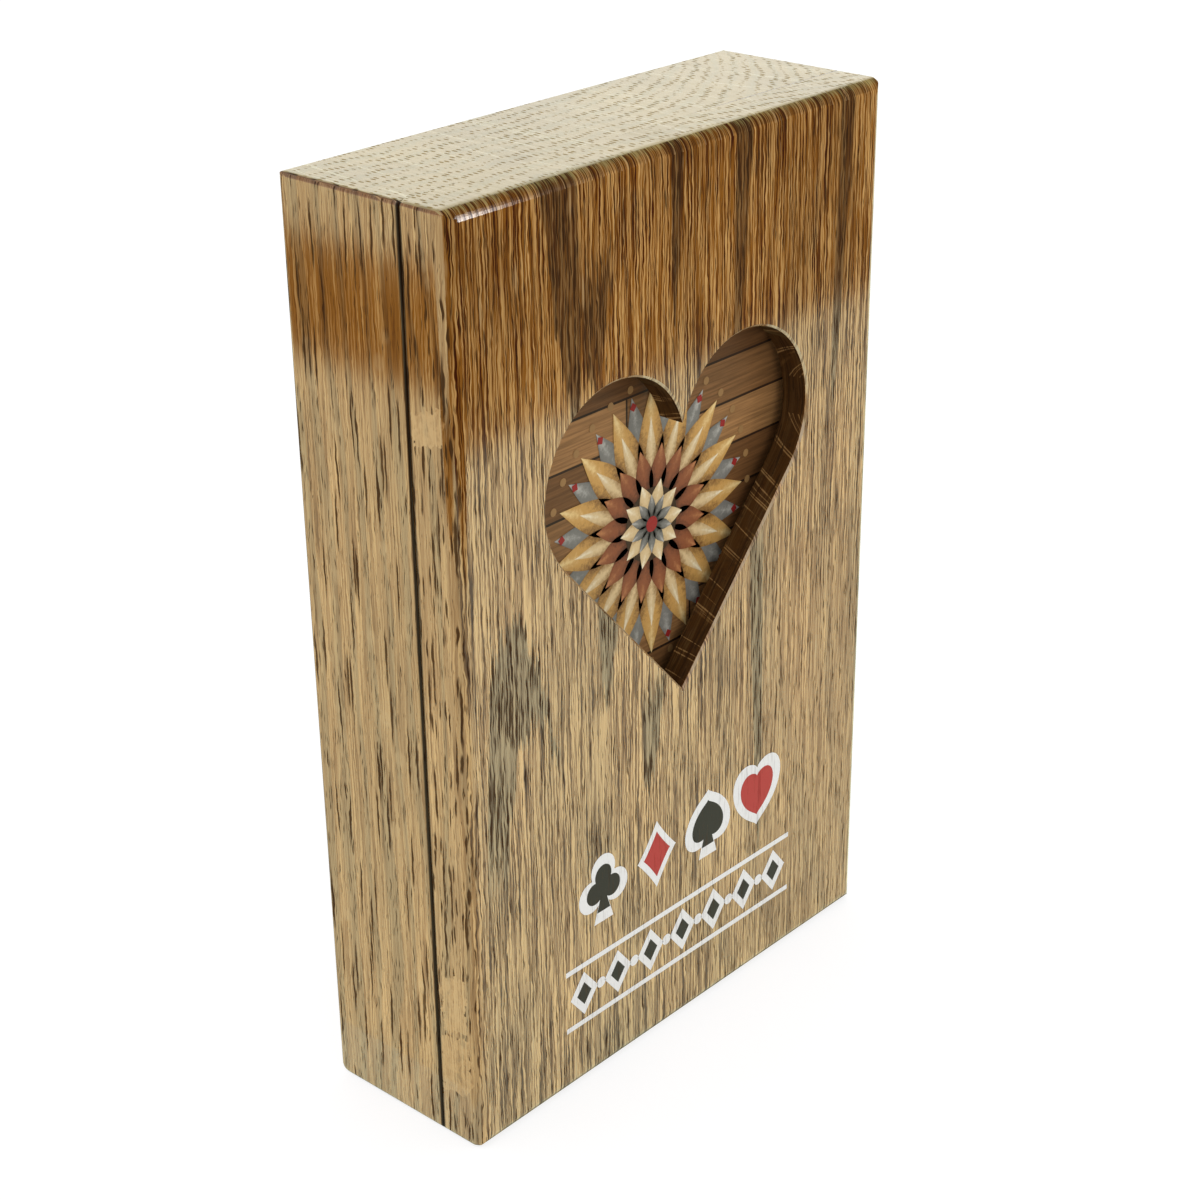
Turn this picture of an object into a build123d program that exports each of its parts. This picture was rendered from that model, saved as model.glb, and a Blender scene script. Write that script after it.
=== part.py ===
from build123d import *

import math
import os

# Playing card display box. Two oak halves, a deep rear case and a shallow front lid, close on
# four pairs of disc magnets around a carton of playing cards. A heart cut through the lid shows
# the carton's printed face. X runs to the right, Y to the back and Z up, and the origin lies
# under the middle of the closed box. Sizes are in millimetres.

# Playing cards, poker size
CARD_WIDTH = 63.0
CARD_HEIGHT = 88.0
CARD_THICKNESS = 0.28
CARD_AIR_GAP = 0.01
CARD_CORNER_RADIUS = 3.2
CARDS_PER_SUIT = 13
JOKERS = 2
SUITS = ("spade", "heart", "diamond", "club")

# Folded carton that holds the cards
BOARD_THICKNESS = 0.45
FOLD_RADIUS = 0.4
CARD_SIDE_CLEARANCE = 0.5
CARD_FACE_CLEARANCE = 0.3
CARD_HEADROOM = 0.6
FLAP_GAP = 0.1
TONGUE_LENGTH = 14.0
TONGUE_CORNER_RADIUS = 6.0
TONGUE_SIDE_CLEARANCE = 1.0
DUST_FLAP_LENGTH = 20.0
DUST_FLAP_TAPER = 2.0
THUMB_NOTCH_RADIUS = 9.0

# Oak halves: the wood left around the carton and how it is shared between case and lid
SIDE_WALL = 8.8
END_WALL = 19.5
CASE_BACK = 4.8
LID_WEB = 4.2
LID_THICKNESS = 7.5
WINDOW_GAP = 1.6
FRONT_ROUND = 2.0
EDGE_EASE = 0.7
SEAM_EASE = 0.4

# Pockets milled for the carton, with their corners relieved by the cutter
CASE_POCKET_CLEARANCE = 0.5
CASE_POCKET_HEADROOM = 1.0
LID_POCKET_CLEARANCE = 0.8
CUTTER_RADIUS = 1.5
SCOOP_RADIUS = 10.0
SCOOP_DEPTH = 9.0

# Heart window: round lobes above the carton's middle, with straight sides to a tip below it.
# The lobes meet in a notch that lies a little above their centres.
HEART_LOBE_RADIUS = 13.5
HEART_LOBE_RISE = 24.0
HEART_NOTCH_RISE = 4.1
HEART_TIP_DROP = 10.7
HEART_EDGE_EASE = 0.3

# Disc magnets, glued into blind holes a little below the faces that meet
MAGNET_DIAMETER = 6.0
MAGNET_THICKNESS = 2.5
MAGNET_EASE = 0.2
MAGNET_HOLE_CLEARANCE = 0.05
MAGNET_RECESS = 0.2
MAGNET_SIDE_INSET = 12.0
MAGNET_END_INSET = 10.0

# How far a cut runs past the face where it ends
CUT_OVERRUN = 1.0

# Sizes of the stack of cards and of the carton around it
card_count = len(SUITS) * CARDS_PER_SUIT + JOKERS
card_pitch = CARD_THICKNESS + CARD_AIR_GAP
deck_thickness = card_count * card_pitch
carton_inner_width = CARD_WIDTH + 2 * CARD_SIDE_CLEARANCE
carton_inner_depth = deck_thickness + CARD_FACE_CLEARANCE + BOARD_THICKNESS + FLAP_GAP
carton_width = carton_inner_width + 2 * BOARD_THICKNESS
carton_depth = carton_inner_depth + 2 * BOARD_THICKNESS
sleeve_height = CARD_HEIGHT + CARD_HEADROOM + 2 * BOARD_THICKNESS + FLAP_GAP
carton_height = sleeve_height + BOARD_THICKNESS

# Sizes of the box around the carton
case_pocket_width = carton_width + 2 * CASE_POCKET_CLEARANCE
case_pocket_height = carton_height + CASE_POCKET_HEADROOM
lid_pocket_width = carton_width + 2 * LID_POCKET_CLEARANCE
lid_pocket_height = carton_height + 2 * LID_POCKET_CLEARANCE
box_width = case_pocket_width + 2 * SIDE_WALL
box_height = case_pocket_height + 2 * END_WALL
box_depth = LID_WEB + WINDOW_GAP + carton_depth + CASE_BACK
case_depth = box_depth - LID_THICKNESS

# Places along the depth: the front, the seam between the halves, the back and the carton between
front_y = -box_depth / 2
seam_y = front_y + LID_THICKNESS
back_y = box_depth / 2
carton_back_y = back_y - CASE_BACK
carton_front_y = carton_back_y - carton_depth
carton_middle_y = (carton_back_y + carton_front_y) / 2
deck_back_y = carton_back_y - BOARD_THICKNESS
deck_front_y = deck_back_y - deck_thickness
tongue_front_y = carton_front_y + BOARD_THICKNESS + FLAP_GAP

# Places along the height: the carton stands on the lower end of the case's pocket
box_middle_z = box_height / 2
carton_base_z = END_WALL
carton_middle_z = carton_base_z + carton_height / 2
deck_base_z = carton_base_z + BOARD_THICKNESS
sleeve_top_z = carton_base_z + sleeve_height
dust_flap_z = sleeve_top_z - FLAP_GAP - BOARD_THICKNESS


def facing_front(y):
    """The upright plane at depth y, seen from the front: X to the right, Z up."""
    return Plane.XZ.offset(-y)


def save(piece, name):
    """Labels a finished piece and writes its STEP file."""
    piece.part.label = name
    export_step(piece.part, f"parts/{name}.step")


os.makedirs("parts", exist_ok=True)


# Magnets sit in the four corners of the faces that meet, in pairs across the seam
magnet_pitch_x = box_width - 2 * MAGNET_SIDE_INSET
magnet_pitch_z = box_height - 2 * MAGNET_END_INSET
magnet_hole_radius = MAGNET_DIAMETER / 2 + MAGNET_HOLE_CLEARANCE
magnet_hole_depth = MAGNET_THICKNESS + MAGNET_RECESS


def eased_section(width, thickness, front_radius, back_radius):
    """A board's cross-section, with its front corners and its back corners rounded."""
    with BuildSketch(mode=Mode.PRIVATE) as section:
        Rectangle(width, thickness)
        fillet(section.vertices().group_by(Axis.Y)[0], front_radius)
        fillet(section.vertices().group_by(Axis.Y)[-1], back_radius)
    return section.sketch


def eased_block(block_front_y, block_back_y, front_radius, back_radius):
    """A block as wide and as high as the box, with all its edges rounded."""
    thickness = block_back_y - block_front_y
    middle_y = (block_front_y + block_back_y) / 2
    with BuildPart() as block:
        with BuildSketch(facing_front(block_back_y)):
            with Locations((0, box_middle_z)):
                RectangleRounded(box_width, box_height, EDGE_EASE)
        extrude(amount=thickness)
        with BuildSketch(Plane.XY):
            with Locations((0, middle_y)):
                add(eased_section(box_width, thickness, front_radius, back_radius))
        extrude(amount=box_height, mode=Mode.INTERSECT)
        with BuildSketch(Plane((-box_width / 2, middle_y, box_middle_z), x_dir=(0, 0, -1), z_dir=(1, 0, 0))):
            add(eased_section(box_height, thickness, front_radius, back_radius))
        extrude(amount=box_width, mode=Mode.INTERSECT)
    return block.part


# Rear case: an oak block with a pocket as deep as most of the carton. The pocket's ends have
# half-round scoops for finger and thumb, and four magnets sit in the rim around it.
case_block = eased_block(seam_y, back_y, SEAM_EASE, EDGE_EASE)

with BuildPart() as rear_case:
    add(case_block)

    with BuildSketch(facing_front(seam_y)):
        with Locations((0, box_middle_z)):
            Rectangle(case_pocket_width, case_pocket_height)
            with GridLocations(case_pocket_width, case_pocket_height, 2, 2):
                Circle(CUTTER_RADIUS)
    extrude(amount=-(case_depth - CASE_BACK), mode=Mode.SUBTRACT)

    with BuildSketch(facing_front(seam_y)):
        with Locations((0, box_middle_z)):
            with GridLocations(0, case_pocket_height, 1, 2):
                Circle(SCOOP_RADIUS)
    extrude(amount=-SCOOP_DEPTH, mode=Mode.SUBTRACT)

    with Locations(Plane((0, seam_y, box_middle_z), x_dir=(1, 0, 0), z_dir=(0, -1, 0))):
        with GridLocations(magnet_pitch_x, magnet_pitch_z, 2, 2):
            Hole(magnet_hole_radius, magnet_hole_depth)
save(rear_case, "rear_case")


def heart_outline():
    """The window's outline in the front view, with the carton's middle as its origin."""
    half_spacing = math.sqrt(HEART_LOBE_RADIUS**2 - HEART_NOTCH_RISE**2)
    rise = HEART_LOBE_RISE + HEART_TIP_DROP
    reach = math.hypot(half_spacing, rise)
    lean = math.atan2(half_spacing, rise) + math.asin(HEART_LOBE_RADIUS / reach)
    side_length = math.sqrt(reach**2 - HEART_LOBE_RADIUS**2)
    tip = (0, -HEART_TIP_DROP)
    shoulder = (side_length * math.sin(lean), side_length * math.cos(lean) - HEART_TIP_DROP)
    crown = (half_spacing, HEART_LOBE_RISE + HEART_LOBE_RADIUS)
    notch = (0, HEART_LOBE_RISE + HEART_NOTCH_RISE)
    with BuildSketch(mode=Mode.PRIVATE) as outline:
        with BuildLine():
            Line(tip, shoulder)
            ThreePointArc(shoulder, crown, notch)
            mirror(about=Plane.YZ)
        make_face()
    return outline.sketch


# Front lid: a thinner oak board, round along its front edges, with a shallow pocket behind for
# the part of the carton that stands out of the case. The heart window goes through the web.
lid_block = eased_block(front_y, seam_y, FRONT_ROUND, SEAM_EASE)

with BuildPart() as front_lid:
    add(lid_block)

    with BuildSketch(facing_front(seam_y)):
        with Locations((0, carton_middle_z)):
            Rectangle(lid_pocket_width, lid_pocket_height)
            with GridLocations(lid_pocket_width, lid_pocket_height, 2, 2):
                Circle(CUTTER_RADIUS)
    extrude(amount=LID_THICKNESS - LID_WEB, mode=Mode.SUBTRACT)

    with BuildSketch(facing_front(seam_y)):
        with Locations((0, carton_middle_z)):
            add(heart_outline())
    extrude(amount=LID_THICKNESS + CUT_OVERRUN, mode=Mode.SUBTRACT)
    front_face = front_lid.faces().filter_by(Axis.Y).sort_by(Axis.Y)[0]
    chamfer(front_face.inner_wires()[0].edges(), HEART_EDGE_EASE)

    with Locations(Plane((0, seam_y, box_middle_z), x_dir=(-1, 0, 0), z_dir=(0, 1, 0))):
        with GridLocations(magnet_pitch_x, magnet_pitch_z, 2, 2):
            Hole(magnet_hole_radius, magnet_hole_depth)
save(front_lid, "front_lid")


# Magnets: nickel-plated discs, each on the floor of its hole
magnet_places = {
    "bottom_left": (-magnet_pitch_x / 2, box_middle_z - magnet_pitch_z / 2),
    "bottom_right": (magnet_pitch_x / 2, box_middle_z - magnet_pitch_z / 2),
    "top_left": (-magnet_pitch_x / 2, box_middle_z + magnet_pitch_z / 2),
    "top_right": (magnet_pitch_x / 2, box_middle_z + magnet_pitch_z / 2),
}
magnet_backs = {"case": seam_y + magnet_hole_depth, "lid": seam_y - MAGNET_RECESS}

for half, magnet_back_y in magnet_backs.items():
    for corner, place in magnet_places.items():
        with BuildPart() as magnet:
            with BuildSketch(facing_front(magnet_back_y)):
                with Locations(place):
                    Circle(MAGNET_DIAMETER / 2)
            extrude(amount=MAGNET_THICKNESS)
            chamfer(magnet.edges().filter_by(GeomType.CIRCLE), MAGNET_EASE)
        save(magnet, f"{half}_magnet_{corner}")


# Carton: folded board, open at the top, with a thumb notch in its front panel
with BuildPart() as tuck_carton:
    with BuildSketch(Plane.XY.offset(carton_base_z)):
        with Locations((0, carton_middle_y)):
            Rectangle(carton_width, carton_depth)
    extrude(amount=sleeve_height)
    upright_folds = tuck_carton.edges().filter_by(Axis.Z)
    lower_folds = tuck_carton.edges().group_by(Axis.Z)[0]
    fillet(upright_folds + lower_folds, FOLD_RADIUS)

    with BuildSketch(Plane.XY.offset(deck_base_z)):
        with Locations((0, carton_middle_y)):
            Rectangle(carton_inner_width, carton_inner_depth)
    extrude(amount=sleeve_height, mode=Mode.SUBTRACT)

    with BuildSketch(facing_front(carton_front_y + BOARD_THICKNESS)):
        with Locations((0, sleeve_top_z)):
            Circle(THUMB_NOTCH_RADIUS)
    extrude(amount=BOARD_THICKNESS + CUT_OVERRUN, mode=Mode.SUBTRACT)
save(tuck_carton, "tuck_carton")


# Tuck flap: closes the carton's top and folds down behind the front panel as a tongue
flap_depth = carton_back_y - tongue_front_y

with BuildPart() as tuck_flap:
    with BuildSketch(Plane.XY.offset(sleeve_top_z)):
        with Locations((0, carton_back_y - flap_depth / 2)):
            Rectangle(carton_width - 2 * TONGUE_SIDE_CLEARANCE, flap_depth)
    extrude(amount=BOARD_THICKNESS)

    with BuildSketch(facing_front(tongue_front_y + BOARD_THICKNESS)) as tongue:
        with Locations((0, sleeve_top_z - TONGUE_LENGTH / 2)):
            Rectangle(carton_inner_width - 2 * TONGUE_SIDE_CLEARANCE, TONGUE_LENGTH)
        fillet(tongue.vertices().group_by(Axis.Y)[0], TONGUE_CORNER_RADIUS)
    extrude(amount=BOARD_THICKNESS)
save(tuck_flap, "tuck_flap")


# Dust flaps: fold in from the carton's sides, under the tuck flap
for side, direction in {"left": -1, "right": 1}.items():
    root_x = direction * carton_inner_width / 2
    tip_x = root_x - direction * DUST_FLAP_LENGTH
    with BuildPart() as dust_flap:
        with BuildSketch(Plane.XY.offset(dust_flap_z)):
            with BuildLine():
                Polyline(
                    (root_x, deck_back_y),
                    (root_x, deck_front_y),
                    (tip_x, deck_front_y + DUST_FLAP_TAPER),
                    (tip_x, deck_back_y - DUST_FLAP_TAPER),
                    close=True,
                )
            make_face()
        extrude(amount=BOARD_THICKNESS)
    save(dust_flap, f"dust_flap_{side}")


# Cards: one solid each, standing on the carton's floor, stacked from its back panel to the front
stack = [("joker", JOKERS)] + [(suit, CARDS_PER_SUIT) for suit in reversed(SUITS)]
stacked = 0

for suit, count in stack:
    with BuildPart() as cards:
        for place in range(stacked, stacked + count):
            with BuildSketch(facing_front(deck_back_y - place * card_pitch)):
                with Locations((0, deck_base_z + CARD_HEIGHT / 2)):
                    RectangleRounded(CARD_WIDTH, CARD_HEIGHT, CARD_CORNER_RADIUS)
            extrude(amount=CARD_THICKNESS)
    stacked += count
    save(cards, f"{suit}_cards")
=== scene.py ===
import math

import bmesh
import bpy
from mathutils import Matrix, Vector


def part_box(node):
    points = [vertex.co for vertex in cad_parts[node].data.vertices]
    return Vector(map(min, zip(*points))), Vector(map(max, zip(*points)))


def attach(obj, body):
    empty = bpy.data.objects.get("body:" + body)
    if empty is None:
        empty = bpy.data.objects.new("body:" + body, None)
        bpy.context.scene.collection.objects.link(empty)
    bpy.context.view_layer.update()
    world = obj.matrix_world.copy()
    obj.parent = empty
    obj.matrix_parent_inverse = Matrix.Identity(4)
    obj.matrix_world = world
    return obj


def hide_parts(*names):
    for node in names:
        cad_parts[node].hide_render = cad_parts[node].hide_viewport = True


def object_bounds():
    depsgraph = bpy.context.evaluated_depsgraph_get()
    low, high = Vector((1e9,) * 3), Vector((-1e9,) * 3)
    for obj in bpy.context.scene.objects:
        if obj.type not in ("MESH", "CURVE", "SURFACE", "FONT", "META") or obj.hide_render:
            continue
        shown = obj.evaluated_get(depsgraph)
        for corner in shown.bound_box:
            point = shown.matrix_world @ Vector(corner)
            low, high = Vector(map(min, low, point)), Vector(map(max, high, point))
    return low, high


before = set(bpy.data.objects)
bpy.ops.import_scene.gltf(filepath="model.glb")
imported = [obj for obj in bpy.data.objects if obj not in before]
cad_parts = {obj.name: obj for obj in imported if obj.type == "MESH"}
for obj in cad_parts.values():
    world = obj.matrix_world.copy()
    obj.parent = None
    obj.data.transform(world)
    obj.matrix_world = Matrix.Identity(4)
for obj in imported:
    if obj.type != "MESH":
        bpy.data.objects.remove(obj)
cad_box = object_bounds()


# Rear case
# A block of oak with a pocket milled into it for the carton, stained brown and sprayed with clear lacquer.
# It stands on the table, and the lid meets it at the seam.

def place(tree, kind, feeds=None, **settings):
    """A node of that kind in a tree, with its settings made and its inputs fed by sockets or plain values."""
    made = tree.nodes.new(kind)
    for setting, value in settings.items():
        setattr(made, setting, value)
    for socket, feed in (feeds or {}).items():
        if isinstance(feed, bpy.types.NodeSocket):
            tree.links.new(feed, made.inputs[socket])
        else:
            made.inputs[socket].default_value = feed
    return made


def home(*terms):
    """The tree that holds the first socket among some sockets and plain values."""
    return next(term.id_data for term in terms if isinstance(term, bpy.types.NodeSocket))


def reckon(operation, *terms):
    """The result of one sum on sockets and plain numbers."""
    return place(home(*terms), "ShaderNodeMath", dict(enumerate(terms)), operation=operation).outputs[0]


def times(first, *others):
    """Several values multiplied in turn."""
    for other in others:
        first = reckon("MULTIPLY", first, other)
    return first


def plus(first, second):
    """Two values added."""
    return reckon("ADD", first, second)


def minus(whole, taken):
    """One value less another."""
    return reckon("SUBTRACT", whole, taken)


def left_of(share):
    """What a share leaves of the whole."""
    return minus(1.0, share)


def most(first, second):
    """The larger of two values."""
    return reckon("MAXIMUM", first, second)


def scaled(value, gain, start):
    """A value times a gain, counted from a start."""
    return reckon("MULTIPLY_ADD", value, gain, start)


def between(share, first, second):
    """A value a share of the way from the first to the second."""
    return scaled(share, minus(second, first), first)


def gap(first, second):
    """How far apart two values are."""
    return reckon("ABSOLUTE", minus(first, second))


def over(value, level):
    """1 where a value is over a level, else 0."""
    return reckon("GREATER_THAN", value, level)


def under(value, level):
    """1 where a value is under a level, else 0."""
    return reckon("LESS_THAN", value, level)


def near(value, middle, reach):
    """1 where a value is within reach of a middle, else 0."""
    return reckon("COMPARE", value, middle, reach)


def fade(value, start, stop, low=0.0, high=1.0):
    """A value eased from low to high as another goes from start to stop."""
    feeds = {"Value": value, "From Min": start, "From Max": stop, "To Min": low, "To Max": high}
    return place(home(value), "ShaderNodeMapRange", feeds, interpolation_type="SMOOTHSTEP").outputs["Result"]


def ebb(value, start, stop):
    """A value eased from 1 to 0 as another goes from start to stop."""
    return fade(value, start, stop, 1.0, 0.0)


def shader_group(name, takes, gives):
    """A new shader group with named inputs, which have usual values, and named outputs."""
    tree = bpy.data.node_groups.new(name, "ShaderNodeTree")
    for socket, usual in takes.items():
        kind = "NodeSocketColor" if isinstance(usual, tuple) else "NodeSocketFloat"
        tree.interface.new_socket(socket, in_out="INPUT", socket_type=kind).default_value = usual
    for socket in gives:
        kind = "NodeSocketColor" if socket == "Colour" else "NodeSocketFloat"
        tree.interface.new_socket(socket, in_out="OUTPUT", socket_type=kind)
    return tree


def grain_flame():
    """A ragged tongue of dark early wood that runs from a point to a broad end along the grain."""
    sizes = ("Across", "Up", "Tip across", "Tip up", "End across", "End up", "Half width")
    tree = shader_group("grain flame", dict.fromkeys(sizes, 0.0), ("Flame",))
    given = tree.nodes.new("NodeGroupInput").outputs
    length = minus(given["End up"], given["Tip up"])
    share = reckon("DIVIDE", minus(given["Up"], given["Tip up"]), length)
    lean = minus(given["End across"], given["Tip across"])
    middle = scaled(lean, share, given["Tip across"])
    half = times(reckon("SQRT", most(share, 0.0)), given["Half width"])
    body = ebb(minus(gap(given["Across"], middle), half), -0.25, 0.2)
    ends = times(fade(share, 0.0, 0.08), ebb(share, 0.85, 1.2))
    place(tree, "NodeGroupOutput", {"Flame": times(body, ends)})
    return tree


flame = grain_flame()
millimetres_in_a_metre = 1000.0


def vector_sum(operation, first, second=None, scale=None):
    """The result of one sum on vectors."""
    feeds = {socket: feed for socket, feed in ((0, first), (1, second), (3, scale)) if feed is not None}
    return place(home(*feeds.values()), "ShaderNodeVectorMath", feeds, operation=operation).outputs[0]


def millimetres(tree):
    """A place on the piece, in millimetres."""
    spot = place(tree, "ShaderNodeTexCoord").outputs["Object"]
    return vector_sum("SCALE", spot, scale=millimetres_in_a_metre)


def parts_of(vector):
    """The X, Y and Z of a vector."""
    return place(home(vector), "ShaderNodeSeparateXYZ", {0: vector}).outputs


def vector_of(**parts):
    """A vector of the parts given, and 0 for the others."""
    return place(home(*parts.values()), "ShaderNodeCombineXYZ", parts).outputs[0]


def stretched(spot, across, along, up):
    """A place in millimetres, divided by the size of a grain feature in each direction."""
    return vector_sum("MULTIPLY", spot, (1 / across, 1 / along, 1 / up))


def on_face(across, up, wide, tall):
    """A place on one face of the wood, in features of a given width and length."""
    return vector_of(X=reckon("DIVIDE", across, wide), Y=reckon("DIVIDE", up, tall))


def speckle(spot, detail=0.0, roughness=0.5, kind="3D"):
    """Soft noise at a place, from 0 to 1."""
    feeds = {"Vector": spot, "Scale": 1.0, "Detail": detail, "Roughness": roughness}
    return place(home(spot), "ShaderNodeTexNoise", feeds, noise_dimensions=kind).outputs["Fac"]


def face_speckle(across, up, wide, tall, detail=1.0, roughness=0.5):
    """Soft noise on one face, in features of a given width and length."""
    return speckle(on_face(across, up, wide, tall), detail, roughness, "2D")


def cells(spot, disorder=1.0, kind="3D"):
    """How far a place is from the middle of its cell in a random packing of cells."""
    feeds = {"Vector": spot, "Scale": 1.0, "Randomness": disorder}
    settings = {"voronoi_dimensions": kind, "feature": "F1"}
    return place(home(spot), "ShaderNodeTexVoronoi", feeds, **settings).outputs["Distance"]


def face_cells(across, up, wide, tall, disorder=1.0):
    """A packing of cells on one face, of a given width and length."""
    return cells(on_face(across, up, wide, tall), disorder, "2D")


def chance(number):
    """A random value for each whole number."""
    return place(home(number), "ShaderNodeTexWhiteNoise", {"W": number}, noise_dimensions="1D").outputs["Value"]


def blended(share, first, second, way="MIX"):
    """Two colours mixed by a share."""
    settings = {"data_type": "RGBA", "blend_type": way, "clamp_factor": True}
    feeds = {0: share, 6: first, 7: second}
    return place(home(share, first, second), "ShaderNodeMix", feeds, **settings).outputs[2]


def grey(level):
    """A grey of a given level."""
    return place(home(level), "ShaderNodeCombineColor", {0: level, 1: level, 2: level}).outputs[0]


def solid_oak():
    """Oak all the way through, for any cut of it: growth rings with open pores, fibre streaks and rays, and a
    painted highlight on the faces that look up.
    """
    # Painted highlights: paler colours for the faces that look up, for the top with its rounded edges and for the
    # rays
    painted_top_highlight = (0.43, 0.38, 0.14, 1)
    painted_ray_highlight = (0.80, 0.76, 0.48, 1)
    fleck = (0.52, 0.27, 0.085, 1)
    end_pore = (0.22, 0.135, 0.050, 1)
    block_step = (37.3, 91.7, 53.1)
    side_cut, end_cut = 0.7, 0.93
    tree = shader_group("solid oak", {
        "Figure across": 0.0, "Figure up": 65.0, "Ring width": 4.0, "Bow": 0.003, "Saddle": 0.002, "Bend": 0.0,
        "Ring shift": 0.0, "Block": 0.0, "Flames": 0.0,
        "Light fibre": (0.70, 0.392, 0.128, 1), "Fibre": (0.315, 0.118, 0.011, 1),
        "Dark fibre": (0.056, 0.008, 0.0005, 1), "Early wood": (0.090, 0.038, 0.010, 1),
        "Pore": (0.034, 0.014, 0.005, 1), "Ray": (0.56, 0.35, 0.15, 1),
    }, ("Colour", "Pores", "Rays", "Early", "Streak", "Height"))
    given = tree.nodes.new("NodeGroupInput").outputs
    spot = millimetres(tree)
    part = parts_of(spot)
    spot = vector_sum("ADD", spot, vector_sum("SCALE", block_step, scale=given["Block"]))
    own = parts_of(spot)
    facing = parts_of(vector_sum("ABSOLUTE", place(tree, "ShaderNodeNewGeometry").outputs["Normal"]))
    side = over(facing["X"], side_cut)
    end = over(facing["Z"], end_cut)

    # Growth rings, bowed and saddled about the middle of the figure
    aside = minus(part["X"], given["Figure across"])
    above = minus(part["Z"], given["Figure up"])
    bow = times(aside, aside, given["Bow"])
    saddle = times(above, above, given["Saddle"])
    beyond = most(minus(part["X"], 10.0), 0.0)
    bow = minus(bow, times(beyond, beyond, given["Bend"]))
    slow = scaled(speckle(stretched(spot, 16, 30, 48), 2.0), 5.0, -2.5)
    quick = scaled(speckle(stretched(spot, 0.45, 3.0, 24), 1.0), 3.0, -1.5)
    calm_level = plus(part["Y"], plus(minus(bow, saddle), slow))
    rings = plus(reckon("DIVIDE", plus(calm_level, quick), given["Ring width"]), given["Ring shift"])
    through = reckon("FRACT", rings)
    luck = chance(reckon("FLOOR", rings))
    spring = fade(through, 0.0, 0.05)
    summer = ebb(through, scaled(luck, 0.18, 0.12), scaled(luck, 0.25, 0.42))
    early = times(spring, summer)

    # Tongues of figure on the front: tip across and up, end across and up, and half the width
    ragged = speckle(stretched(spot, 0.50, 1.2, 14), 1.0)
    ragged_up = plus(part["Z"], scaled(ragged, 15.0, -7.5))
    tongues = {"dark": 0.0, "pale": 0.0}
    for tone, *shape in (
            ("dark", -20.6, 97.0, -23.6, 136.0, 3.6), ("dark", -17.5, 103.0, -16.5, 117.0, 3.2),
            ("dark", -33.5, 77.0, -30.5, 42.0, 8.3), ("pale", -29.8, 61.5, -27.0, 20.0, 9.5),
            ("dark", -15.8, 58.0, -14.5, 78.0, 2.6), ("dark", -7.4, 40.0, -6.0, 56.0, 2.4),
            ("dark", 10.6, 96.0, 12.5, 142.0, 2.0), ("dark", 17.5, 20.0, 15.5, 74.0, 1.6),
            ("dark", 32.0, 84.0, 34.0, 132.0, 1.6), ("dark", -2.0, 106.0, -1.0, 140.0, 1.5)):
        feeds = dict(zip(("Tip across", "Tip up", "End across", "End up", "Half width"), shape))
        feeds.update({"Across": part["X"], "Up": ragged_up})
        tongue = place(tree, "ShaderNodeGroup", feeds, node_tree=flame)
        tongues[tone] = most(tongues[tone], tongue.outputs[0])
    shown = times(given["Flames"], left_of(most(side, end)))
    dark = times(tongues["dark"], shown)
    pale = left_of(times(tongues["pale"], shown))
    early = times(early, scaled(shown, -0.75, 1.0), scaled(side, -0.4, 1.0))
    early = times(most(early, dark), pale)

    # Open pores: long and short along the grain, torn on the sides, and cut across at the ends
    across = between(side, own["X"], plus(own["Y"], 61.0))
    sway = scaled(face_speckle(across, own["Z"], 2.6, 14), 0.6, -0.3)
    shiver = scaled(face_speckle(across, own["Z"], 0.7, 2.2), 0.36, -0.18)
    line = plus(across, plus(sway, shiver))
    thin = scaled(side, -0.065, 0.15)
    long_size = scaled(early, scaled(side, -0.06, 0.15), thin)
    long_pores = ebb(face_cells(line, own["Z"], 0.60, 13), times(long_size, 0.55), long_size)
    short_size = scaled(early, 0.17, times(thin, 0.77))
    short_pores = ebb(face_cells(plus(line, 7.7), own["Z"], 0.38, 6), times(short_size, 0.5), short_size)
    cut_size = fade(face_speckle(own["X"], own["Y"], 7, 4), 0.35, 0.60, 0.14, 0.27)
    cut_pores = ebb(face_cells(own["X"], calm_level, 0.80, 2.3, 0.38), times(cut_size, 0.55), cut_size)
    dashes = ebb(face_cells(line, own["Z"], 1.3, 30), 0.10, 0.18)
    torn = ebb(face_cells(plus(line, 19.0), own["Z"], 0.95, 9), 0.11, 0.20)
    pores = most(most(long_pores, short_pores), times(dashes, side))
    pores = most(pores, times(torn, times(side, given["Flames"])))
    pores = between(end, pores, cut_pores)

    # Rays: flecks along the grain, and thin sheets that show as lines at the ends
    slant = times(aside, given["Bow"], -2.0, part["Y"])
    ray_spot = vector_sum("ADD", spot, vector_of(X=slant))
    broad = ebb(cells(stretched(ray_spot, 2.4, 95, 26)), 0.055, 0.11)
    fine = ebb(cells(stretched(ray_spot, 0.75, 40, 7)), 0.10, 0.22)
    broad = times(broad, scaled(side, -0.75, 1.0))
    rays = times(most(broad, times(fine, 0.35)), left_of(end))
    drift = scaled(face_speckle(own["X"], own["Y"], 9, 14), 1.6, plus(own["X"], slant))
    sheet = reckon("DIVIDE", drift, 0.25)
    chosen = over(chance(reckon("FLOOR", sheet)), scaled(end, 0.13, 0.78))
    thickness = ebb(gap(reckon("FRACT", sheet), 0.5), 0.15, 0.45)
    broken = fade(face_speckle(sheet, own["Y"], 0.8, 7), 0.40, 0.55)
    rays = most(rays, times(chosen, thickness, broken, over(facing["Z"], 0.2)))

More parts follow.
